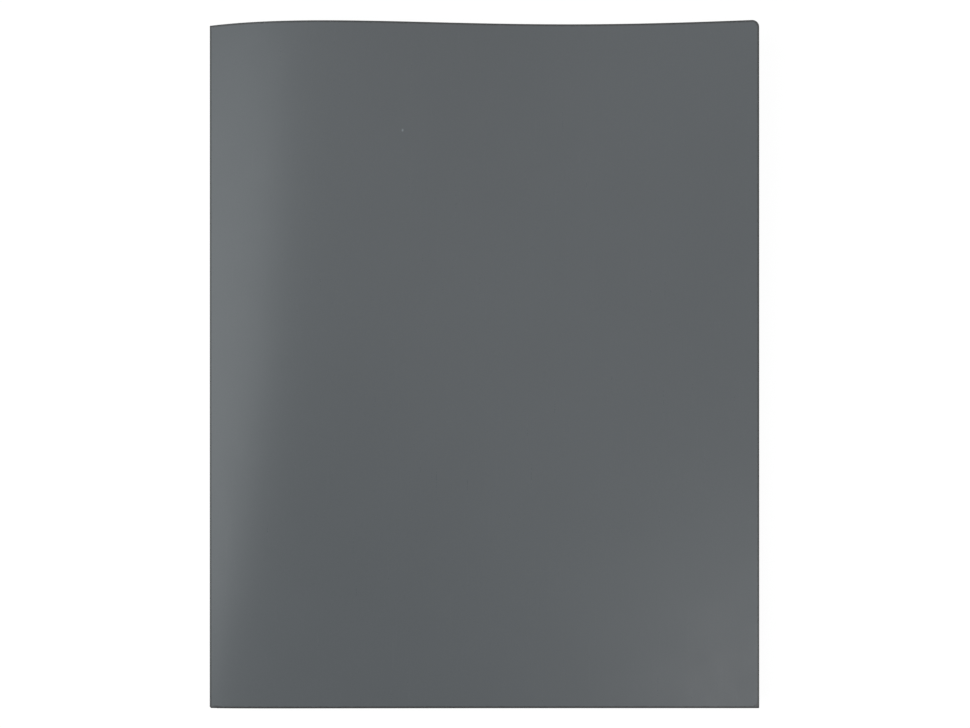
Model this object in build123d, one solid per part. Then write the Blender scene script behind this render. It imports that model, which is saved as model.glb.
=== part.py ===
from build123d import *
from math import radians, tan
import os

# Two-pocket folder, cut and folded from one plastic sheet, lying closed on its back cover.
# Sizes are in millimetres. +X runs from the spine to the fore-edge, +Y from the folded bottom edge
# to the top edge and +Z upwards. The origin lies under the middle of the covers.

# Sheet and covers
SHEET = 0.5
COVER_WIDTH = 235.0
COVER_HEIGHT = 292.0
CORNER_RADIUS = 3.0

# Spine between two creases, each with a bead that the score raises on the inside
SPINE_WIDTH = 9.5
CREASE_RADIUS = 0.4
CREASE_CLEARANCE = 0.05

# Pocket flaps, folded up from the bottom edge
POCKET_HEIGHT = 105.0
FOLD_RADIUS = 0.3
MOUTH_GAPE = 1.0
RELIEF_AT_FOLD = 3.0
RELIEF_AT_MOUTH = 14.0
FLAP_INSET = 0.8
FLAP_CORNER_RADIUS = 5.0

# Weld spots that hold the outer side of each flap
WELD_COUNT = 16
WELD_LENGTH = 3.0
WELD_WIDTH = 1.2
WELD_INSET = 3.0
WELD_MARGIN = 6.0

# Bow of the front cover: the angles and heights of its top edge, and how strongly the bulge beside
# the spine narrows towards the straight bottom edge
CREASE_ANGLE = 23.9
MIDDLE_PULL = 9.1
FORE_EDGE_ANGLE = 8.9
FORE_EDGE_LIFT = 10.2
FAN_POWER = 2.0

# Places that follow from the sizes
X_SPINE = -COVER_WIDTH / 2
X_FORE = COVER_WIDTH / 2
X_CREASE = X_SPINE + CREASE_RADIUS
X_PANEL = X_CREASE + CREASE_RADIUS + CREASE_CLEARANCE
X_RELIEF = X_SPINE + RELIEF_AT_FOLD
Y_BOTTOM = -COVER_HEIGHT / 2
Y_TOP = COVER_HEIGHT / 2
Y_FOLD = Y_BOTTOM + FOLD_RADIUS + SHEET
Y_MOUTH = Y_BOTTOM + POCKET_HEIGHT
Z_BACK_CREASE = CREASE_RADIUS
Z_FRONT_CREASE = Z_BACK_CREASE + SPINE_WIDTH
Z_FRONT = Z_FRONT_CREASE + CREASE_RADIUS
Z_UNDERSIDE = Z_FRONT - SHEET
PANEL_WIDTH = X_FORE - X_PANEL
PANEL_HEIGHT = Y_TOP - Y_FOLD
POCKET_GAP = 2 * FOLD_RADIUS
TALL = 10 * (Z_FRONT + FORE_EDGE_LIFT)

# Control points of the bow: columns from the crease to the fore-edge, rows from the fold to the top
COLUMNS = 4
ROWS = 3


def bow_heights():
    """Control heights along the top edge of the front cover, from the crease to the fore-edge."""
    step = PANEL_WIDTH / COLUMNS
    after_crease = step * tan(radians(CREASE_ANGLE))
    before_fore_edge = FORE_EDGE_LIFT - step * tan(radians(FORE_EDGE_ANGLE))
    return [0.0, after_crease, -MIDDLE_PULL, before_fore_edge, FORE_EDGE_LIFT]


def bow_draw_in():
    """How far the bow draws in the fore-edge at the top, because the sheet keeps its length."""
    step = PANEL_WIDTH / COLUMNS
    top_edge = Bezier(*[(i * step, height) for i, height in enumerate(bow_heights())])
    return top_edge.length - PANEL_WIDTH


def bowed_face():
    """The underside of the front cover. Beside the spine it bulges evenly more towards the top, and the
    rest of the wave comes in near the top edge only, so the doubled pocket stays flat at the fore-edge."""
    points = []
    for j in range(ROWS + 1):
        share = j / ROWS
        near_top = 1.0 if j == ROWS else 0.0
        row = []
        for i, height in enumerate(bow_heights()):
            across = (1 - share) * (i / COLUMNS) ** FAN_POWER + share * i / COLUMNS
            x = X_PANEL + across * PANEL_WIDTH - near_top * bow_draw_in() * i / COLUMNS
            z = Z_UNDERSIDE + height * (share if i == 1 else near_top)
            row.append((x, Y_FOLD + share * PANEL_HEIGHT, z))
        points.append(row)
    return Face.make_bezier_surface(points)


def cover_outline(draw_in=0.0):
    """The flat outline of a cover, stepped where the fold starts and rounded at its top outer corner."""
    step = PANEL_HEIGHT / ROWS
    fore_edge = [(X_FORE, Y_FOLD), (X_FORE, Y_FOLD + step), (X_FORE, Y_TOP - step), (X_FORE - draw_in, Y_TOP)]
    rest = [fore_edge[-1], (X_PANEL, Y_TOP), (X_PANEL, Y_BOTTOM), (X_RELIEF, Y_BOTTOM), (X_RELIEF, Y_FOLD)]
    flat = make_face(Bezier(*fore_edge) + Polyline(*rest, fore_edge[0]))
    return fillet(flat.vertices().sort_by(lambda v: v.X + v.Y)[-1], CORNER_RADIUS)


def in_front(piece):
    """The same piece on the front cover, which faces the back cover."""
    return mirror(piece, about=Plane.XY.offset(Z_FRONT / 2))


def back_cover():
    """The flat panel that the folder lies on."""
    return extrude(cover_outline(), amount=SHEET)


def front_cover():
    """The bowed panel, with a flat step beside the fold."""
    bowed = extrude(bowed_face(), amount=SHEET, dir=(0, 0, 1))
    step = Box(X_RELIEF - X_PANEL, Y_FOLD - Y_BOTTOM, SHEET, align=Align.MIN)
    cover = bowed + Pos(X_PANEL, Y_BOTTOM, Z_UNDERSIDE) * step
    return cover & extrude(cover_outline(bow_draw_in()), amount=TALL)


def bottom_fold():
    """The half-round turn of the sheet along the bottom edge of the back cover."""
    outside = FOLD_RADIUS + SHEET
    ring = Circle(outside) - Circle(FOLD_RADIUS) - Pos(outside, 0) * Rectangle(2 * outside, 2 * outside)
    middle = (X_RELIEF, Y_FOLD, SHEET + FOLD_RADIUS)
    return extrude(Plane(middle, x_dir=(0, 1, 0), z_dir=(1, 0, 0)) * ring, amount=X_FORE - X_RELIEF)


def pocket_flap():
    """The flap inside the back cover: slanted off the spine, and standing off at the free end of its mouth."""
    level = SHEET + POCKET_GAP
    fold_line = [(X_SPINE, Y_FOLD, level), (X_FORE, Y_FOLD, level)]
    mouth_line = [(X_SPINE, Y_MOUTH, level + MOUTH_GAPE), (X_FORE, Y_MOUTH, level)]
    sheet = extrude(Face.make_bezier_surface([fold_line, mouth_line]), amount=SHEET, dir=(0, 0, 1))
    mouth = [(X_FORE - FLAP_INSET, Y_MOUTH), (X_SPINE + RELIEF_AT_MOUTH, Y_MOUTH)]
    flat = Polygon((X_RELIEF, Y_FOLD), (X_FORE, Y_FOLD), *mouth, align=None)
    flat = fillet(flat.vertices().sort_by(Axis.Y)[-2:], FLAP_CORNER_RADIUS)
    return sheet & extrude(flat, amount=TALL)


def weld_places():
    """Middle points of the weld spots, spaced evenly up the outer side of a flap."""
    first = Y_FOLD + WELD_MARGIN
    pitch = (Y_MOUTH - WELD_MARGIN - first) / (WELD_COUNT - 1)
    return [(X_FORE - WELD_INSET, first + i * pitch) for i in range(WELD_COUNT)]


def weld_spot(place, bottom, height):
    """One weld spot, long in the direction of the fore-edge."""
    return Pos(*place, bottom) * extrude(SlotOverall(WELD_LENGTH, WELD_WIDTH, rotation=90), amount=height)


def back_pocket_welds():
    """Weld spots between the back cover and its flap."""
    return Compound([weld_spot(place, SHEET, POCKET_GAP).solid() for place in weld_places()])


def front_pocket_welds():
    """Weld spots between the front cover and its flap, which reach up to the bowed underside."""
    below = extrude(bowed_face(), amount=POCKET_GAP + FORE_EDGE_LIFT, dir=(0, 0, -1))
    spots = [weld_spot(place, Z_UNDERSIDE - POCKET_GAP, TALL) & below for place in weld_places()]
    return Compound([spot.solid() for spot in spots])


def crease():
    """The bead along the back crease, round about the line that the panels turn on."""
    return Pos(X_CREASE, 0, Z_BACK_CREASE) * Rot(90, 0, 0) * Cylinder(CREASE_RADIUS, COVER_HEIGHT)


def spine_panel():
    """The narrow panel between the two creases."""
    height = SPINE_WIDTH - 2 * (CREASE_RADIUS + CREASE_CLEARANCE)
    return Pos(X_SPINE + SHEET / 2, 0, Z_FRONT / 2) * Box(SHEET, COVER_HEIGHT, height)


PIECES = {
    "back_cover": back_cover(),
    "back_bottom_fold": bottom_fold(),
    "back_pocket_flap": pocket_flap(),
    "back_pocket_welds": back_pocket_welds(),
    "back_crease": crease(),
    "spine_panel": spine_panel(),
    "front_crease": in_front(crease()),
    "front_cover": front_cover(),
    "front_bottom_fold": in_front(bottom_fold()),
    "front_pocket_flap": in_front(pocket_flap()),
    "front_pocket_welds": front_pocket_welds(),
}

os.makedirs("parts", exist_ok=True)
for name, piece in PIECES.items():
    export_step(piece, f"parts/{name}.step")
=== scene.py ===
from collections import namedtuple
from math import atan, comb, cos, pi, radians, sin, tan

import bmesh
import bpy
import numpy as np
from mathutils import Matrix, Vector
from mathutils.kdtree import KDTree


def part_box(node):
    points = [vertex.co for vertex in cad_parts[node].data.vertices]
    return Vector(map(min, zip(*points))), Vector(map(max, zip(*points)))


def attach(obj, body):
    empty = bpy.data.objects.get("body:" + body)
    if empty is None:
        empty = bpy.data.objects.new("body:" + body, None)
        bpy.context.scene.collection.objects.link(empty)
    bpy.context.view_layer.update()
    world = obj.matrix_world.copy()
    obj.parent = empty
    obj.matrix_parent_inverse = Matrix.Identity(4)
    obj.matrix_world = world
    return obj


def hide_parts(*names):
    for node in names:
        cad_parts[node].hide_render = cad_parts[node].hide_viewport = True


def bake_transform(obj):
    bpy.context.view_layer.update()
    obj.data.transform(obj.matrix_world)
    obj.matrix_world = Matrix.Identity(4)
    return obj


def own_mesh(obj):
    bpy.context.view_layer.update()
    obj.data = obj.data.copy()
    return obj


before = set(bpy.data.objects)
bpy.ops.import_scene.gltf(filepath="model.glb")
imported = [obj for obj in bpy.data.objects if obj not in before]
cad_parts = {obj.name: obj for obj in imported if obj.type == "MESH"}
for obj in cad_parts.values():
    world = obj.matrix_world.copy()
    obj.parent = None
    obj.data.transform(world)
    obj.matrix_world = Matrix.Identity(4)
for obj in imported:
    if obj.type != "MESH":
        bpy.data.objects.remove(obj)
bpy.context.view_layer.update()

# Closed two-pocket folder of dark grey plastic sheet, seen from straight above its front cover.
# Lengths are in metres. +X runs from the spine to the fore-edge, +Y from the folded bottom edge to the
# top edge and +Z upwards.
MM = 0.001

# Places read from the parts of model.glb
cover_low, cover_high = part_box("back_cover")
spine_low, spine_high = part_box("spine_panel")
fold_low, fold_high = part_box("back_bottom_fold")
flap_low, flap_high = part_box("back_pocket_flap")
weld_low, weld_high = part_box("back_pocket_welds")
SHEET = cover_high.z - cover_low.z
X_SPINE = spine_low.x
X_SPINE_INSIDE = spine_high.x
X_PANEL = cover_low.x
X_RELIEF = fold_low.x
X_FORE = cover_high.x
Y_BOTTOM = cover_low.y
Y_TOP = cover_high.y
Y_FOLD = fold_high.y
Y_MOUTH = flap_high.y
Z_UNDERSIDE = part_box("front_cover")[0].z
Z_FRONT = Z_UNDERSIDE + SHEET
PANEL_WIDTH = X_FORE - X_PANEL
PANEL_HEIGHT = Y_TOP - Y_FOLD
FOLD_OUTSIDE = (fold_high.z - fold_low.z) / 2
FLAP_LEVEL = flap_low.z

# Shape of the covers and pocket flaps, as in the part
CORNER_RADIUS = 3.0 * MM
RELIEF_AT_MOUTH = 14.0 * MM
FLAP_INSET = 0.8 * MM
FLAP_CORNER_RADIUS = 5.0 * MM
MOUTH_GAPE = 1.0 * MM

# Bow of the front cover, as in the part: angles and heights of its top edge, how strongly the bulge beside
# the spine narrows towards the bottom edge, and how late the rest of the wave comes in towards the top
CREASE_ANGLE = radians(23.9)
MIDDLE_PULL = 9.1 * MM
FORE_EDGE_ANGLE = radians(8.9)
FORE_EDGE_LIFT = 10.2 * MM
FAN_POWER = 2.0
WAVE_POWER = 3
COLUMNS = 4

# This share of the bulge is left at the fold, and fades out within a fifth of the cover's height. The
# pocket flap follows it, less and less towards its mouth
FOOT_RISE = 0.05
FOOT_FADE = 16
FLAP_LIFT_FADE = 2

# Weld spots
WELD_COUNT = 16
WELD_LENGTH = 3.0 * MM
WELD_WIDTH = weld_high.x - weld_low.x
WELD_X = (weld_low.x + weld_high.x) / 2
WELD_WAIST = 0.12 * MM
DIMPLE_DEPTH = 0.14 * MM
DIMPLE_SLOPE = 0.35 * MM

# Bend at a crease: 2 is a round turn, and higher powers are sharper. At the bottom the tab of a cover and
# the spine are cut a little short of the fold, with a corner between them that is rounded over the crease.
# The tab is a hair apart from its panel
BEND_POWER = 3
TAB_INSET = 0.2 * MM
TAB_GAP = 0.002 * MM
SPINE_INSET = 0.9 * MM
SPINE_CORNER_POWER = 2

# Cut edges of the sheet: their rounding, the grid lines beside them and the points that mark them. The nose
# of a fold, up to this angle on both sides of its outermost line, is marked as an edge too, for painted
# shade
EDGE_ROUND = 0.12 * MM
EDGE_STEPS = 3
EDGE_LINES = [0.15 * MM, 0.5 * MM, 1.2 * MM]
EDGE_POINTS = 13
FOLD_NOSE = radians(46)
SHARP_ANGLE = radians(35)
MERGE_DISTANCE = 0.0001 * MM

# Mesh density, and steps of the numerical searches
ROW_PITCH = 2.5 * MM
COLUMN_PITCH = 2.5 * MM
CORNER_ROWS = 12
TURN_STEPS = 16
TAB_COLUMNS = 8
SPINE_COLUMNS = 6
WELD_SIDES = 28
WELD_LEVELS = 7
DIMPLE_PITCH = 0.15 * MM
DIMPLE_ROW_PITCH = 0.5 * MM
BOW_SAMPLES = 2001
HALVINGS = 40
LEAN_PROBE = 0.1 * MM


# Shape formulas

def bernstein(i, u):
    """The weight of control point i of the bow at u."""
    return comb(COLUMNS, i) * u**i * (1 - u) ** (COLUMNS - i)


def bow_heights():
    """Control heights along the top edge of the front cover, from the crease to the fore-edge."""
    step = PANEL_WIDTH / COLUMNS
    before_fore_edge = FORE_EDGE_LIFT - step * tan(FORE_EDGE_ANGLE)
    return [0.0, step * tan(CREASE_ANGLE), -MIDDLE_PULL, before_fore_edge, FORE_EDGE_LIFT]


def bow_draw_in():
    """How far the bow draws in the fore-edge at the top, because the sheet keeps its length."""
    u = np.linspace(0, 1, BOW_SAMPLES)
    z = sum(height * bernstein(i, u) for i, height in enumerate(bow_heights()))
    return float(np.hypot(np.diff(u) * PANEL_WIDTH, np.diff(z)).sum()) - PANEL_WIDTH


DRAW_IN = bow_draw_in()


def up_the_cover(y):
    """Share of the way from the fold to the top edge."""
    return np.clip((y - Y_FOLD) / PANEL_HEIGHT, 0, 1)


def bulge_share(t):
    """Share of the bulge beside the spine: all of it at the top edge, and a trace at the fold."""
    return t + FOOT_RISE * (1 - t) ** FOOT_FADE


def fan_place(u, t):
    """Share of the panel's width at which the bow's point u lies. The bow crowds at the spine low down,
    and at the top it spreads evenly and draws the sheet in."""
    crowded = sum((i / COLUMNS) ** FAN_POWER * bernstein(i, u) for i in range(1, COLUMNS + 1))
    return (1 - t) * crowded + t * u - t**WAVE_POWER * u * DRAW_IN / PANEL_WIDTH


def bow(x, y):
    """Height of the bowed front cover over its flat place. The bulge beside the spine fans out towards
    the top, and the rest of the wave comes in near the top edge. The bow's point u over x is found by
    halving the range that it lies in."""
    t = up_the_cover(y)
    across = (x - X_PANEL) / PANEL_WIDTH
    low = 0 * across
    high = low + 1
    for _ in range(HALVINGS):
        u = (low + high) / 2
        is_beyond = fan_place(u, t) > across
        low = np.where(is_beyond, low, u)
        high = np.where(is_beyond, u, high)
    heights = bow_heights()
    wave = sum(heights[i] * bernstein(i, u) for i in range(2, COLUMNS + 1))
    return bulge_share(t) * heights[1] * bernstein(1, u) + t**WAVE_POWER * wave


def crease_slope(y):
    """Slope of the front cover where it leaves the crease."""
    t = up_the_cover(y)
    spread = (1 - t) * COLUMNS * (1 / COLUMNS) ** FAN_POWER + t
    return bulge_share(t) * tan(CREASE_ANGLE) / spread


def level_crease(y):
    return 0 * y


def flat_back(x, y):
    return cover_low.z + 0 * x


def bowed_front(x, y):
    return Z_UNDERSIDE + bow(x, y)


def level_fold(x):
    return 0 * x


def front_fold_lift(x):
    """Height of the front fold over its level place, where it follows the bowed cover."""
    return bow(x, Y_FOLD + 0 * x)


def up_the_flap(y):
    """Share of the way from the fold to the pocket's mouth."""
    return (y - Y_FOLD) / (Y_MOUTH - Y_FOLD)


def flap_height(x, y):
    """Underside of the back flap, which stands off at the free end of its mouth."""
    from_fore_edge = (X_FORE - x) / (X_FORE - X_SPINE)
    return FLAP_LEVEL + MOUTH_GAPE * from_fore_edge * up_the_flap(y)


def panel_side(y):
    return X_PANEL + 0 * y


def relief_side(y):
    return X_RELIEF + 0 * y


def front_fore_edge(y):
    return X_FORE - DRAW_IN * ((y - Y_FOLD) / PANEL_HEIGHT) ** WAVE_POWER


def back_fore_edge(y):
    return X_FORE + 0 * y


def flap_outer_side(y):
    return X_FORE - FLAP_INSET * up_the_flap(y)


def flap_spine_side(y):
    return X_RELIEF + (X_SPINE + RELIEF_AT_MOUTH - X_RELIEF) * up_the_flap(y)


def on_back(z):
    """A height on the back cover, where the sizes are read."""
    return z


def on_front(z):
    """The same height on the front cover, which faces the back cover."""
    return Z_FRONT - z


# Grid lines

def lines(start, stop, pitch, support=(True, True)):
    """Evenly spaced places from start to stop, with lines close to the ends that carry a cut edge."""
    places = list(np.linspace(start, stop, max(2, round((stop - start) / pitch) + 1)))
    if support[0]:
        places += [start + line for line in EDGE_LINES]
    if support[1]:
        places += [stop - line for line in EDGE_LINES]
    return np.array(sorted(places))


def corner_lines(top, radius):
    """Lines that divide a rounded corner under the line at top into equal turns."""
    return top - radius + radius * np.sin(np.linspace(0, pi / 2, CORNER_ROWS + 1))


def rounded_side(side, outward, top, radius):
    """A side that turns into a rounded corner at its top end, inset by the rounding of the cut edge. side
    gives x at a height y, and outward is 1 on the right and -1 on the left."""
    lean = atan((side(np.array(top)) - side(np.array(top - LEAN_PROBE))) / LEAN_PROBE)
    inner_radius = radius - EDGE_ROUND
    middle_y = top - radius
    turn_y = middle_y - outward * inner_radius * sin(lean)

    def inset_side(y):
        return side(y) - outward * EDGE_ROUND / cos(lean)

    middle_x = inset_side(np.array(turn_y)) - outward * inner_radius * cos(lean)

    def place(y):
        on_arc = np.sqrt(np.clip(inner_radius**2 - (y - middle_y) ** 2, 0, None))
        return np.where(y < turn_y, inset_side(np.minimum(y, turn_y)), middle_x + outward * on_arc)

    return place


def grid(rows, shares, left, right):
    """x and y of a grid whose rows run from the left side to the right side."""
    y = np.repeat(rows[:, None], len(shares), axis=1)
    x = left(y) + shares[None, :] * (right(y) - left(y))
    return x, y


# Closed shells of sheet

Shell = namedtuple("Shell", "vertices faces is_inside edge_points")


def rim_loop(columns, rows):
    """Grid places round the outside of a grid, and the sides that each lies on."""
    bottom = [(0, i) for i in range(columns - 1)]
    right = [(j, columns - 1) for j in range(rows - 1)]
    top = [(rows - 1, i) for i in range(columns - 1, 0, -1)]
    left = [(j, 0) for j in range(rows - 1, 0, -1)]
    places = bottom + right + top + left
    sides = []
    for j, i in places:
        on = {"bottom": j == 0, "right": i == columns - 1, "top": j == rows - 1, "left": i == 0}
        sides.append({side for side, there in on.items() if there})
    return places, sides


def outward_directions(middle, normal, is_free):
    """Directions that point out of the sheet along its free edges, and no direction elsewhere."""
    count = len(middle)
    directions = np.zeros((count, 3))
    for k in range(count):
        if not is_free[k]:
            continue
        before = (k - 1) % count if is_free[k - 1] else k
        after = (k + 1) % count if is_free[(k + 1) % count] else k
        direction = np.cross(middle[after] - middle[before], normal[k])
        directions[k] = direction / np.linalg.norm(direction)
    return directions


def rim_loops(outside, inside, out, normal, is_free):
    """Loops that lead over the rim from the outside face to the inside face, round along free edges."""
    sunk = np.where(is_free, EDGE_ROUND, 0.0)[:, None] * normal
    quarter = np.linspace(0, pi / 2, EDGE_STEPS + 1)
    loops = [outside + out * EDGE_ROUND * sin(turn) - sunk * (1 - cos(turn)) for turn in quarter[1:]]
    loops += [inside + out * EDGE_ROUND * cos(turn) + sunk * (1 - sin(turn)) for turn in quarter[:-1]]
    return loops


def sheet_shell(outside, inside, free_sides):
    """A closed sheet between two grids of points. Its free sides get rounded cut edges, and its other
    sides end flush, where the sheet goes on in another piece."""
    rows, columns = outside.shape[:2]
    across = outside[0, 1] - outside[0, 0]
    along = outside[1, 0] - outside[0, 0]
    turn = np.sign(np.dot(np.cross(across, along), outside[0, 0] - inside[0, 0]))
    places, sides = rim_loop(columns, rows)
    outer = np.array([outside[place] for place in places])
    inner = np.array([inside[place] for place in places])
    normal = outer - inner
    normal /= np.linalg.norm(normal, axis=1)[:, None]
    is_free = [bool(side & free_sides) for side in sides]
    out = turn * outward_directions((outer + inner) / 2, normal, is_free)
    loops = rim_loops(outer, inner, out, normal, is_free)
    vertices = np.concatenate([outside.reshape(-1, 3), inside.reshape(-1, 3), *loops])

    size = rows * columns
    corners = [j * columns + i for j in range(rows - 1) for i in range(columns - 1)]
    quads = [[a, a + 1, a + columns + 1, a + columns] for a in corners]
    back_quads = [[size + k for k in quad] for quad in quads]
    count = len(places)
    rings = [[j * columns + i for j, i in places]]
    rings += [[2 * size + n * count + k for k in range(count)] for n in range(len(loops))]
    rings.append([size + k for k in rings[0]])
    rim = []
    for upper, lower in zip(rings, rings[1:]):
        for k in range(count):
            after = (k + 1) % count
            rim.append([upper[k], upper[after], lower[after], lower[k]])
    is_inside = [False] * len(quads) + [True] * len(back_quads) + [False] * len(rim)
    edge_line = (outer + inner) / 2 + out * EDGE_ROUND
    edge_points = []
    for k in range(count):
        after = (k + 1) % count
        if is_free[k] and is_free[after]:
            edge_points += list(np.linspace(edge_line[k], edge_line[after], EDGE_POINTS))
    return Shell(vertices, quads + back_quads + rim, is_inside, edge_points)


def cover_shell(fore_edge, height, is_front):
    """The panel of a cover from its crease to its fore-edge. height gives its underside."""
    top = Y_TOP - EDGE_ROUND
    start = Y_TOP - CORNER_RADIUS
    corner = corner_lines(top, CORNER_RADIUS - EDGE_ROUND)
    rows = np.concatenate([lines(Y_FOLD, start, ROW_PITCH, (False, False))[:-1], corner])
    shares = (lines(X_PANEL, X_FORE, COLUMN_PITCH, (False, True)) - X_PANEL) / PANEL_WIDTH
    x, y = grid(rows, shares, panel_side, rounded_side(fore_edge, 1, Y_TOP, CORNER_RADIUS))
    return panel_shell(x, y, height(x, y), is_front, {"right", "top"})


def tab_shell(height, is_front):
    """The small tab of a cover beside the end of its fold, a hair apart from the panel, so that both are
    closed shells."""
    rows = lines(Y_BOTTOM + TAB_INSET + EDGE_ROUND, Y_FOLD - TAB_GAP, ROW_PITCH, (False, False))
    x, y = grid(rows, np.linspace(0, 1, TAB_COLUMNS), panel_side, relief_side)
    return panel_shell(x, y, height(x, y), is_front, {"bottom"})


def panel_shell(x, y, z, is_front, free_sides):
    """A lying sheet over its underside z. Its outside is on top of the front cover and under the back."""
    upper = np.stack([x, y, z + SHEET], 2)
    lower = np.stack([x, y, z], 2)
    faces = (upper, lower) if is_front else (lower, upper)
    return sheet_shell(*faces, free_sides)


def fold_shell(side, lift):
    """The half-round turn of the sheet along the bottom edge. side sets a height on its own cover, and
    lift is added to it. Its outermost part counts as an edge, and gets the painted shade of one."""
    along = lines(X_RELIEF + EDGE_ROUND, X_FORE - EDGE_ROUND, COLUMN_PITCH)
    turn = np.linspace(-pi / 2, pi / 2, TURN_STEPS + 1)
    x = np.repeat(along[None, :], len(turn), axis=0)
    faces = []
    for radius in (FOLD_OUTSIDE, FOLD_OUTSIDE - SHEET):
        y = np.repeat((Y_FOLD - radius * np.cos(turn))[:, None], len(along), axis=1)
        z = np.repeat((FOLD_OUTSIDE + radius * np.sin(turn))[:, None], len(along), axis=1)
        faces.append(np.stack([x, y, side(z) + lift(x)], 2))
    shell = sheet_shell(*faces, {"left", "right"})
    outermost = faces[0][np.abs(turn) <= FOLD_NOSE].reshape(-1, 3)
    return shell._replace(edge_points=[*shell.edge_points, *outermost])


def weld_places():
    """Middle heights of the weld spots along the fore-edge."""
    reach = WELD_LENGTH / 2
    return np.linspace(weld_low.y + reach, weld_high.y - reach, WELD_COUNT)


def smooth_step(share):
    """A share from 0 to 1 that leaves and arrives level."""
    return share * share * (3 - 2 * share)


def dimple(x, y):
    """Depth that the welding tool presses into a flap over each weld spot."""
    straight = (WELD_LENGTH - WELD_WIDTH) / 2
    depth = 0 * x
    for place in weld_places():
        from_line = np.hypot(x - WELD_X, np.clip(np.abs(y - place) - straight, 0, None))
        rise = np.clip((WELD_WIDTH / 2 - from_line) / DIMPLE_SLOPE, 0, 1)
        depth += DIMPLE_DEPTH * smooth_step(rise)
    return depth


def flap_shell(side, lift):
    """The pocket flap, slanted off the spine and rounded at both ends of its mouth. The outside of the
    sheet faces into the folder here, because the fold turns it over."""
    top = Y_MOUTH - EDGE_ROUND
    start = Y_MOUTH - FLAP_CORNER_RADIUS
    corner = corner_lines(top, FLAP_CORNER_RADIUS - EDGE_ROUND)
    rows = np.concatenate([lines(Y_FOLD, start, DIMPLE_ROW_PITCH, (False, False))[:-1], corner])
    weld_band = np.arange(WELD_X - WELD_WIDTH, WELD_X + WELD_WIDTH, DIMPLE_PITCH)
    columns = np.concatenate([lines(X_RELIEF, X_FORE, COLUMN_PITCH), weld_band])
    shares = (np.unique(columns) - X_RELIEF) / (X_FORE - X_RELIEF)
    left = rounded_side(flap_spine_side, -1, Y_MOUTH, FLAP_CORNER_RADIUS)
    right = rounded_side(flap_outer_side, 1, Y_MOUTH, FLAP_CORNER_RADIUS)
    x, y = grid(rows, shares, left, right)
    z = flap_height(x, y)
    lifted = lift(x) * (1 - up_the_flap(y)) ** FLAP_LIFT_FADE
    outside = np.stack([x, y, side(z + SHEET - dimple(x, y)) + lifted], 2)
    inside = np.stack([x, y, side(z) + lifted], 2)
    return sheet_shell(outside, inside, {"left", "right", "top"})


def crease_shell(side, slope):
    """The bend of the sheet at a crease, from the end of the spine panel to the start of a cover that
    leaves it at a slope. side turns a height on the front cover into one on the crease's own cover."""
    share = np.linspace(0, 1, TURN_STEPS + 1)
    from_spine = (1 - share) ** BEND_POWER
    from_cover = share**BEND_POWER
    at_knee = 1 - from_spine - from_cover
    corner_cut = (SPINE_INSET - TAB_INSET) * (1 - from_cover) ** SPINE_CORNER_POWER
    foot = Y_BOTTOM + TAB_INSET + corner_cut + EDGE_ROUND
    top = Y_TOP - EDGE_ROUND
    up = (lines(Y_BOTTOM, top, ROW_PITCH)[:, None] - Y_BOTTOM) / (top - Y_BOTTOM)
    y = foot + up * (top - foot)
    faces = []
    for x_start, z_end in ((X_SPINE, Z_FRONT), (X_SPINE_INSIDE, Z_UNDERSIDE)):
        knee = z_end - (X_PANEL - x_start) * slope(y)
        x = x_start + from_cover * (X_PANEL - x_start)
        z = from_spine * spine_high.z + at_knee * knee + from_cover * z_end
        faces.append(np.stack([np.broadcast_to(x, y.shape), y, side(z)], 2))
    return sheet_shell(*faces, {"bottom", "top"})


def spine_shell():
    """The narrow upright panel between the creases."""
    rows = lines(Y_BOTTOM + SPINE_INSET + EDGE_ROUND, Y_TOP - EDGE_ROUND, ROW_PITCH)
    across = np.linspace(spine_low.z, spine_high.z, SPINE_COLUMNS)
    y = np.repeat(rows[:, None], len(across), axis=1)
    z = np.broadcast_to(across, y.shape)
    faces = [np.stack([x + 0 * y, y, z], 2) for x in (X_SPINE, X_SPINE_INSIDE)]
    return sheet_shell(*faces, {"bottom", "top"})


def weld_shell(place, bottom, top):
    """One weld spot: a slot-shaped drop of melted plastic with a waist, between two heights."""
    turns = np.linspace(0, 2 * pi, WELD_SIDES, endpoint=False)
    straight = (WELD_LENGTH - WELD_WIDTH) / 2
    vertices = []
    for level in np.linspace(0, 1, WELD_LEVELS):
        radius = WELD_WIDTH / 2 - WELD_WAIST * sin(pi * level)
        for turn in turns:
            x = WELD_X + radius * cos(turn)
            y = place + radius * sin(turn) + straight * (1 if sin(turn) >= 0 else -1)
            low = bottom(x, y)
            vertices.append((x, y, low + (top(x, y) - low) * level))
    faces = [list(range(WELD_SIDES)), [len(vertices) - WELD_SIDES + k for k in range(WELD_SIDES)]]
    for start in range(0, len(vertices) - WELD_SIDES, WELD_SIDES):
        for k in range(WELD_SIDES):
            a = start + k
            b = start + (k + 1) % WELD_SIDES
            faces.append([a, b, b + WELD_SIDES, a + WELD_SIDES])
    # Every vertex marks an edge, so the whole spot gets the painted edge shade: painted shade between the
    # sheets
    return Shell(vertices, faces, [False] * len(faces), vertices)


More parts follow.
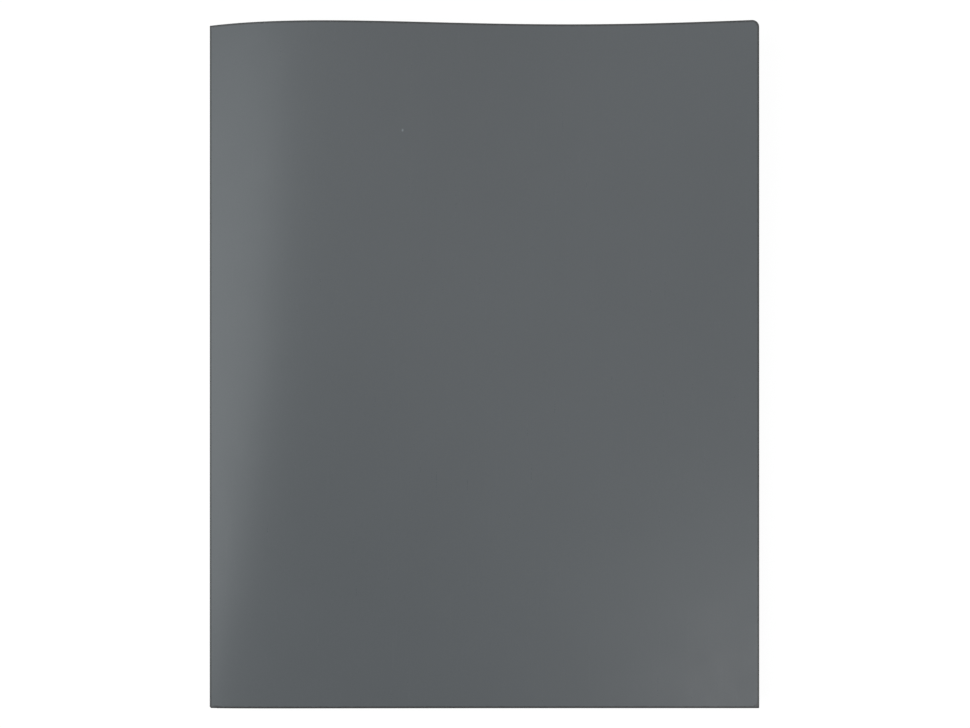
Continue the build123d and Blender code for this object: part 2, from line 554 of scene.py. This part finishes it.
def mesh_piece(name, shells, beside):
    """One mesh object from closed shells, smooth but for its corners. Faces on the inside of the sheet use
    the second material, and each vertex keeps its distance from the nearest edge, also from one on the
    shells beside the piece, into which its sheet runs on."""
    work = bmesh.new()
    edge_points = [point for shell in beside for point in shell.edge_points]
    for shell in shells:
        vertices = [work.verts.new(point) for point in shell.vertices]
        for corners, is_inside in zip(shell.faces, shell.is_inside):
            face = work.faces.new([vertices[k] for k in corners])
            face.material_index = int(is_inside)
            face.smooth = True
        bmesh.ops.remove_doubles(work, verts=vertices, dist=MERGE_DISTANCE)
        edge_points += list(shell.edge_points)
    bmesh.ops.recalc_face_normals(work, faces=work.faces)
    mesh = bpy.data.meshes.new(name)
    work.to_mesh(mesh)
    work.free()
    mesh.set_sharp_from_angle(angle=SHARP_ANGLE)
    tree = KDTree(len(edge_points))
    for k, point in enumerate(edge_points):
        tree.insert(point, k)
    tree.balance()
    distance = [tree.find(vertex.co)[2] for vertex in mesh.vertices]
    mesh.attributes.new("edge_distance", "FLOAT", "POINT").data.foreach_set("value", distance)
    piece = bpy.data.objects.new(name, mesh)
    bpy.context.scene.collection.objects.link(piece)
    return piece


# Colour, roughness and depth of the grain of each plastic
COVER_FINISH = ((0.0760, 0.0860, 0.0940), 0.34, 0.0042 * MM)
POCKET_FINISH = ((0.0740, 0.0840, 0.0920), 0.34, 0.0042 * MM)
INSIDE_FINISH = ((0.0820, 0.0920, 0.1000), 0.42, 0.0060 * MM)
# The crease is painted far darker than the sheet: painted shade on the bend, which turns away from the
# light
CREASE_SHADE_FINISH = ((0.0240, 0.0270, 0.0300), 0.40, 0.0018 * MM)
WELD_FINISH = ((0.0600, 0.0675, 0.0735), 0.26, 0.0170 * MM)
PLASTIC_IOR = 1.49

# Marks in the plastic, and painted shade along its edges. Tones are shares of a colour, and scales are
# features per metre. The painted shade at an edge fades out over a band of distances from it
NOISE_BAND = (0.3, 0.7)
NOISE_DETAIL = 2.0
FLOW_SCALE = 28.0
FLOW_TONE = 0.015
PATCH_SCALE = 70.0
PATCH_ROUGHNESS = 0.012
GRAIN_SCALE = 2600.0
GRAIN_DETAIL = 1.0
GRAIN_TONE = 0.04
GRAIN_ROUGHNESS = 0.02
SCUFF_SCALE = (1400.0, 30.0, 30.0)
SCUFF_TURNS = (radians(25), radians(-50))
SCUFF_BAND = (0.66, 0.78)
SCUFF_TONE = 0.06
SCUFF_ROUGHNESS = 0.06
# Painted shade on cut edges and the nose of a fold, and the ragged border of that shade
EDGE_SHADE_TONE = 0.2
EDGE_SHADE_BAND = (0.5 * MM, 1.1 * MM)
EDGE_RAGGED_SCALE = 900.0
EDGE_RAGGEDNESS = 0.1 * MM

# A light fleck in the front cover, at pixel 402.5, 130 of the photograph
FLECK_X = -34.6 * MM
FLECK_Y = 100.2 * MM
FLECK_REACH = (0.65 * MM, 0.95 * MM, 0.4 * MM)
FLECK_TONE = 2.6


def add_node(tree, kind, **settings):
    """A shader node. A setting names an input by its label, or one of the node's own properties."""
    node = tree.nodes.new(kind)
    for name, value in settings.items():
        label = name.replace("_", " ").title()
        if label in node.inputs:
            node.inputs[label].default_value = value
        else:
            setattr(node, name, value)
    return node


def noise(tree, coordinates, scale, detail=NOISE_DETAIL):
    node = add_node(tree, "ShaderNodeTexNoise", scale=scale, detail=detail)
    tree.links.new(coordinates, node.inputs["Vector"])
    return node.outputs["Fac"]


def remap(tree, value, from_band, to_band, smooth=False):
    """A value carried from one band to another, and held at the ends."""
    ranges = dict(zip(("from_min", "from_max", "to_min", "to_max"), (*from_band, *to_band)))
    node = add_node(tree, "ShaderNodeMapRange", **ranges)
    node.interpolation_type = "SMOOTHSTEP" if smooth else "LINEAR"
    tree.links.new(value, node.inputs["Value"])
    return node.outputs["Result"]


def combine(tree, operation, *values):
    """Sockets put together one after another by an operation."""
    result = values[0]
    for value in values[1:]:
        node = add_node(tree, "ShaderNodeMath", operation=operation)
        tree.links.new(result, node.inputs[0])
        tree.links.new(value, node.inputs[1])
        result = node.outputs[0]
    return result


def tinted(tree, colour, tone):
    """A colour times a tone."""
    node = add_node(tree, "ShaderNodeVectorMath", operation="SCALE")
    node.inputs[0].default_value = colour
    tree.links.new(tone, node.inputs["Scale"])
    return node.outputs["Vector"]


def about(middle, swing):
    """A band of equal swings to both sides of a middle value."""
    return (middle - swing, middle + swing)


def painted_edge_shade(tree, place):
    """Painted shade along cut edges and the nose of a fold, where the light falls off, with a ragged
    border.
    """
    distance = add_node(tree, "ShaderNodeAttribute", attribute_name="edge_distance").outputs["Fac"]
    ragged_border = remap(tree, noise(tree, place, EDGE_RAGGED_SCALE), NOISE_BAND, about(0.0, EDGE_RAGGEDNESS))
    ragged_distance = combine(tree, "ADD", distance, ragged_border)
    return remap(tree, ragged_distance, EDGE_SHADE_BAND, (EDGE_SHADE_TONE, 1.0), smooth=True)


def scuffs(tree, place):
    """1 on sparse hairline scuffs in two directions, and 0 between them."""
    marks = []
    for turn in SCUFF_TURNS:
        turned = add_node(tree, "ShaderNodeMapping", rotation=(0.0, 0.0, turn), scale=SCUFF_SCALE)
        tree.links.new(place, turned.inputs["Vector"])
        streaks = noise(tree, turned.outputs["Vector"], 1.0)
        marks.append(remap(tree, streaks, SCUFF_BAND, (0.0, 1.0), smooth=True))
    return combine(tree, "MAXIMUM", *marks)


def fleck_tone(tree, place):
    """Lighter tone on the small oval fleck."""
    middle = (FLECK_X, FLECK_Y, Z_FRONT + float(bow(np.array(FLECK_X), np.array(FLECK_Y))))
    offset = add_node(tree, "ShaderNodeVectorMath", operation="SUBTRACT")
    tree.links.new(place, offset.inputs[0])
    offset.inputs[1].default_value = middle
    share = add_node(tree, "ShaderNodeVectorMath", operation="DIVIDE")
    tree.links.new(offset.outputs["Vector"], share.inputs[0])
    share.inputs[1].default_value = FLECK_REACH
    length = add_node(tree, "ShaderNodeVectorMath", operation="LENGTH")
    tree.links.new(share.outputs["Vector"], length.inputs[0])
    return remap(tree, length.outputs["Value"], (0.0, 1.0), (FLECK_TONE, 1.0), smooth=True)


def plastic(name, colour, roughness, grain_depth):
    """Satin plastic sheet: fine pressed grain, slow changes of tone and sheen, faint marks of use, and
    painted edge shade.
    """
    material = bpy.data.materials.new(name)
    material.use_nodes = True
    tree = material.node_tree
    shader = tree.nodes["Principled BSDF"]
    place = add_node(tree, "ShaderNodeTexCoord").outputs["Object"]
    flow = noise(tree, place, FLOW_SCALE)
    patch = noise(tree, place, PATCH_SCALE)
    grain = noise(tree, place, GRAIN_SCALE, detail=GRAIN_DETAIL)
    scuff = scuffs(tree, place)
    tone = combine(
        tree,
        "MULTIPLY",
        remap(tree, flow, NOISE_BAND, about(1.0, FLOW_TONE)),
        remap(tree, grain, NOISE_BAND, about(1.0, GRAIN_TONE)),
        remap(tree, scuff, (0.0, 1.0), (1.0, 1.0 + SCUFF_TONE)),
        painted_edge_shade(tree, place),
        fleck_tone(tree, place),
    )
    tree.links.new(tinted(tree, colour, tone), shader.inputs["Base Color"])
    sheen = combine(
        tree,
        "ADD",
        remap(tree, patch, NOISE_BAND, about(roughness, PATCH_ROUGHNESS)),
        remap(tree, grain, NOISE_BAND, about(0.0, GRAIN_ROUGHNESS)),
        remap(tree, scuff, (0.0, 1.0), (0.0, -SCUFF_ROUGHNESS)),
    )
    tree.links.new(sheen, shader.inputs["Roughness"])
    bump = add_node(tree, "ShaderNodeBump", strength=1.0, distance=grain_depth)
    tree.links.new(grain, bump.inputs["Height"])
    tree.links.new(bump.outputs["Normal"], shader.inputs["Normal"])
    shader.inputs["IOR"].default_value = PLASTIC_IOR
    return material


cover_plastic = plastic("cover_plastic", *COVER_FINISH)
pocket_plastic = plastic("pocket_plastic", *POCKET_FINISH)
inside_plastic = plastic("inside_plastic", *INSIDE_FINISH)
crease_shade_plastic = plastic("crease_shade_plastic", *CREASE_SHADE_FINISH)
weld_plastic = plastic("weld_plastic", *WELD_FINISH)

# Plastics on the outside and the inside of a sheet
COVER_SIDES = (cover_plastic, inside_plastic)
POCKET_SIDES = (pocket_plastic, inside_plastic)
CREASE_SHADE_SIDES = (crease_shade_plastic, crease_shade_plastic)


# Pieces of the folder

def dress(name, shells, slot, node, *materials, beside=()):
    """A piece in its materials, which takes the place of a node of the part. Its sheet runs on into the
    shells beside it."""
    piece = mesh_piece(name, shells, beside)
    for material in materials:
        piece.data.materials.append(material)
    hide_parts(node)
    return piece


back_fold = fold_shell(on_back, level_fold)
back_panel = cover_shell(back_fore_edge, flat_back, is_front=False)
back_parts = [back_panel, tab_shell(flat_back, is_front=False)]
back_cover = dress(
    "back_cover_sheet", back_parts, "cover_sheet", "back_cover", *COVER_SIDES, beside=[back_fold]
)
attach(back_cover, "back")

front_fold = fold_shell(on_front, front_fold_lift)
front_panel = cover_shell(front_fore_edge, bowed_front, is_front=True)
front_parts = [front_panel, tab_shell(bowed_front, is_front=True)]
front_cover = dress(
    "front_cover_sheet", front_parts, "cover_sheet", "front_cover", *COVER_SIDES, beside=[front_fold]
)
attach(front_cover, "front")
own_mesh(front_cover)

back_flap = flap_shell(on_back, level_fold)
front_flap = flap_shell(on_front, front_fold_lift)
for body, fold, flap in (("back", back_fold, back_flap), ("front", front_fold, front_flap)):
    turn = dress(f"{body}_fold_turn", [fold], "cover_sheet", f"{body}_bottom_fold", *COVER_SIDES)
    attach(turn, body)
    flap_node = f"{body}_pocket_flap"
    pocket = dress(
        f"{body}_pocket_sheet", [flap], "pocket_sheet", flap_node, *POCKET_SIDES, beside=[fold]
    )
    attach(pocket, body)


def back_inside(x, y):
    return cover_high.z


def front_flap_inside(x, y):
    return on_front(flap_height(x, y))


back_spots = [weld_shell(place, back_inside, flap_height) for place in weld_places()]
back_welds = dress("back_weld_row", back_spots, "weld", "back_pocket_welds", weld_plastic)
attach(back_welds, "back")

front_spots = [weld_shell(place, front_flap_inside, bowed_front) for place in weld_places()]
front_welds = dress("front_weld_row", front_spots, "weld", "front_pocket_welds", weld_plastic)
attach(front_welds, "front")
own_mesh(front_welds)

spine = dress("spine_sheet", [spine_shell()], "cover_sheet", "spine_panel", *COVER_SIDES)
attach(spine, "spine")

back_bend = [crease_shell(on_front, level_crease)]
back_crease = dress("back_crease_web", back_bend, "crease", "back_crease", *CREASE_SHADE_SIDES)
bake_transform(back_crease)

front_bend = [crease_shell(on_back, crease_slope)]
front_crease = dress("front_crease_web", front_bend, "crease", "front_crease", *CREASE_SHADE_SIDES)
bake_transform(front_crease)


# Floor, world and lamps. The floor is seen white where it gets FLOOR_LIGHT, and a share of its shadow shows
# where it gets less

FLOOR_SIZE = 30.0
FLOOR_GAP = 0.2 * MM
FLOOR_COLOUR = (0.88, 0.88, 0.88, 1.0)
FLOOR_SHADOW_SHARE = 0.11
FLOOR_LIGHT = 0.5
WHITE = (1.0, 1.0, 1.0, 1.0)
AMBIENT = 0.29

# Each lamp's lean from straight above, its turn from +X towards +Y, its width, its height, its brightness,
# which is 1 where it looks as bright as white, and its colour
LAMP_REACH = 1.5
COOL_WHITE = (0.95, 1.0, 1.01)
NEUTRAL_WHITE = (1.0, 1.0, 1.0)
LAMPS = {
    "left_softbox": (radians(47), radians(183), 1.15, 1.52, 2.14, COOL_WHITE),
    "right_softbox": (radians(24.3), radians(312.5), 0.28, 0.21, 8.25, NEUTRAL_WHITE),
    "overhead_softbox": (radians(14.4), radians(73), 1.23, 1.08, 0.735, NEUTRAL_WHITE),
}


def seen_directly(tree):
    """1 where a surface is looked at, also in a reflection or through glass, and 0 where it only lights."""
    path = add_node(tree, "ShaderNodeLightPath")
    rays = ("Is Camera Ray", "Is Glossy Ray", "Is Transmission Ray")
    return combine(tree, "MAXIMUM", *[path.outputs[ray] for ray in rays])


def mix_shaders(tree, factor, first, second, output):
    mix = add_node(tree, "ShaderNodeMixShader")
    tree.links.new(factor, mix.inputs[0])
    tree.links.new(first, mix.inputs[1])
    tree.links.new(second, mix.inputs[2])
    tree.links.new(mix.outputs[0], output.inputs["Surface"])


def floor_material():
    """White paper floor: it bounces light as a pale surface, and is seen white with a faint shadow."""
    material = bpy.data.materials.new("floor_white")
    material.use_nodes = True
    tree = material.node_tree
    tree.nodes.clear()
    output = add_node(tree, "ShaderNodeOutputMaterial")
    bounce = add_node(tree, "ShaderNodeBsdfDiffuse", color=FLOOR_COLOUR)
    shadow = add_node(tree, "ShaderNodeBsdfDiffuse", color=(*[FLOOR_SHADOW_SHARE] * 3, 1.0))
    glow = 1.0 - FLOOR_LIGHT * FLOOR_SHADOW_SHARE
    white = add_node(tree, "ShaderNodeEmission", color=WHITE, strength=glow)
    shown = add_node(tree, "ShaderNodeAddShader")
    tree.links.new(shadow.outputs[0], shown.inputs[0])
    tree.links.new(white.outputs[0], shown.inputs[1])
    mix_shaders(tree, seen_directly(tree), bounce.outputs[0], shown.outputs[0], output)
    return material


def white_world():
    """Soft light from all sides, seen white."""
    world = bpy.data.worlds.new("white_room")
    bpy.context.scene.world = world
    world.use_nodes = True
    tree = world.node_tree
    tree.nodes.clear()
    output = add_node(tree, "ShaderNodeOutputWorld")
    light = add_node(tree, "ShaderNodeBackground", color=WHITE, strength=AMBIENT)
    white = add_node(tree, "ShaderNodeBackground", color=WHITE, strength=1.0)
    mix_shaders(tree, seen_directly(tree), light.outputs[0], white.outputs[0], output)


def softbox(name, lean, turn, width, height, brightness, colour):
    """A rectangular lamp that faces the middle of the front cover."""
    lamp = bpy.data.lights.new(name, "AREA")
    lamp.shape = "RECTANGLE"
    lamp.size = width
    lamp.size_y = height
    lamp.energy = brightness * pi * width * height
    lamp.color = colour
    box = bpy.data.objects.new(name, lamp)
    away = Vector((sin(lean) * cos(turn), sin(lean) * sin(turn), cos(lean)))
    box.location = Vector((0, 0, Z_FRONT)) + LAMP_REACH * away
    box.rotation_euler = (-away).to_track_quat("-Z", "Y").to_euler()
    box.visible_camera = False
    bpy.context.scene.collection.objects.link(box)


def floor_sheet():
    """The floor just under the folder."""
    mesh = bpy.data.meshes.new("floor")
    half = FLOOR_SIZE / 2
    corners = [(-half, -half), (half, -half), (half, half), (-half, half)]
    mesh.from_pydata([(x, y, -FLOOR_GAP) for x, y in corners], [], [(0, 1, 2, 3)])
    mesh.materials.append(floor_material())
    floor = bpy.data.objects.new("floor", mesh)
    bpy.context.scene.collection.objects.link(floor)


floor_sheet()
white_world()
for name, settings in LAMPS.items():
    softbox(name, *settings)


# Camera straight above, at the photograph's distance and frame

PHOTO_WIDTH = 970
FOCAL_PIXELS = 1391.9
CAMERA_RISE = 595 * MM
CAMERA_X = 0.26 * MM
CAMERA_Y = 1.31 * MM
SENSOR_WIDTH = 36.0
CLIP_START = 10 * MM

camera_data = bpy.data.cameras.new("camera")
camera_data.sensor_width = SENSOR_WIDTH
camera_data.lens = FOCAL_PIXELS / PHOTO_WIDTH * SENSOR_WIDTH
camera_data.clip_start = CLIP_START
camera = bpy.data.objects.new("camera", camera_data)
camera.location = (CAMERA_X, CAMERA_Y, Z_FRONT + CAMERA_RISE)
bpy.context.scene.collection.objects.link(camera)
bpy.context.scene.camera = camera
bpy.context.scene.view_settings.view_transform = "Standard"
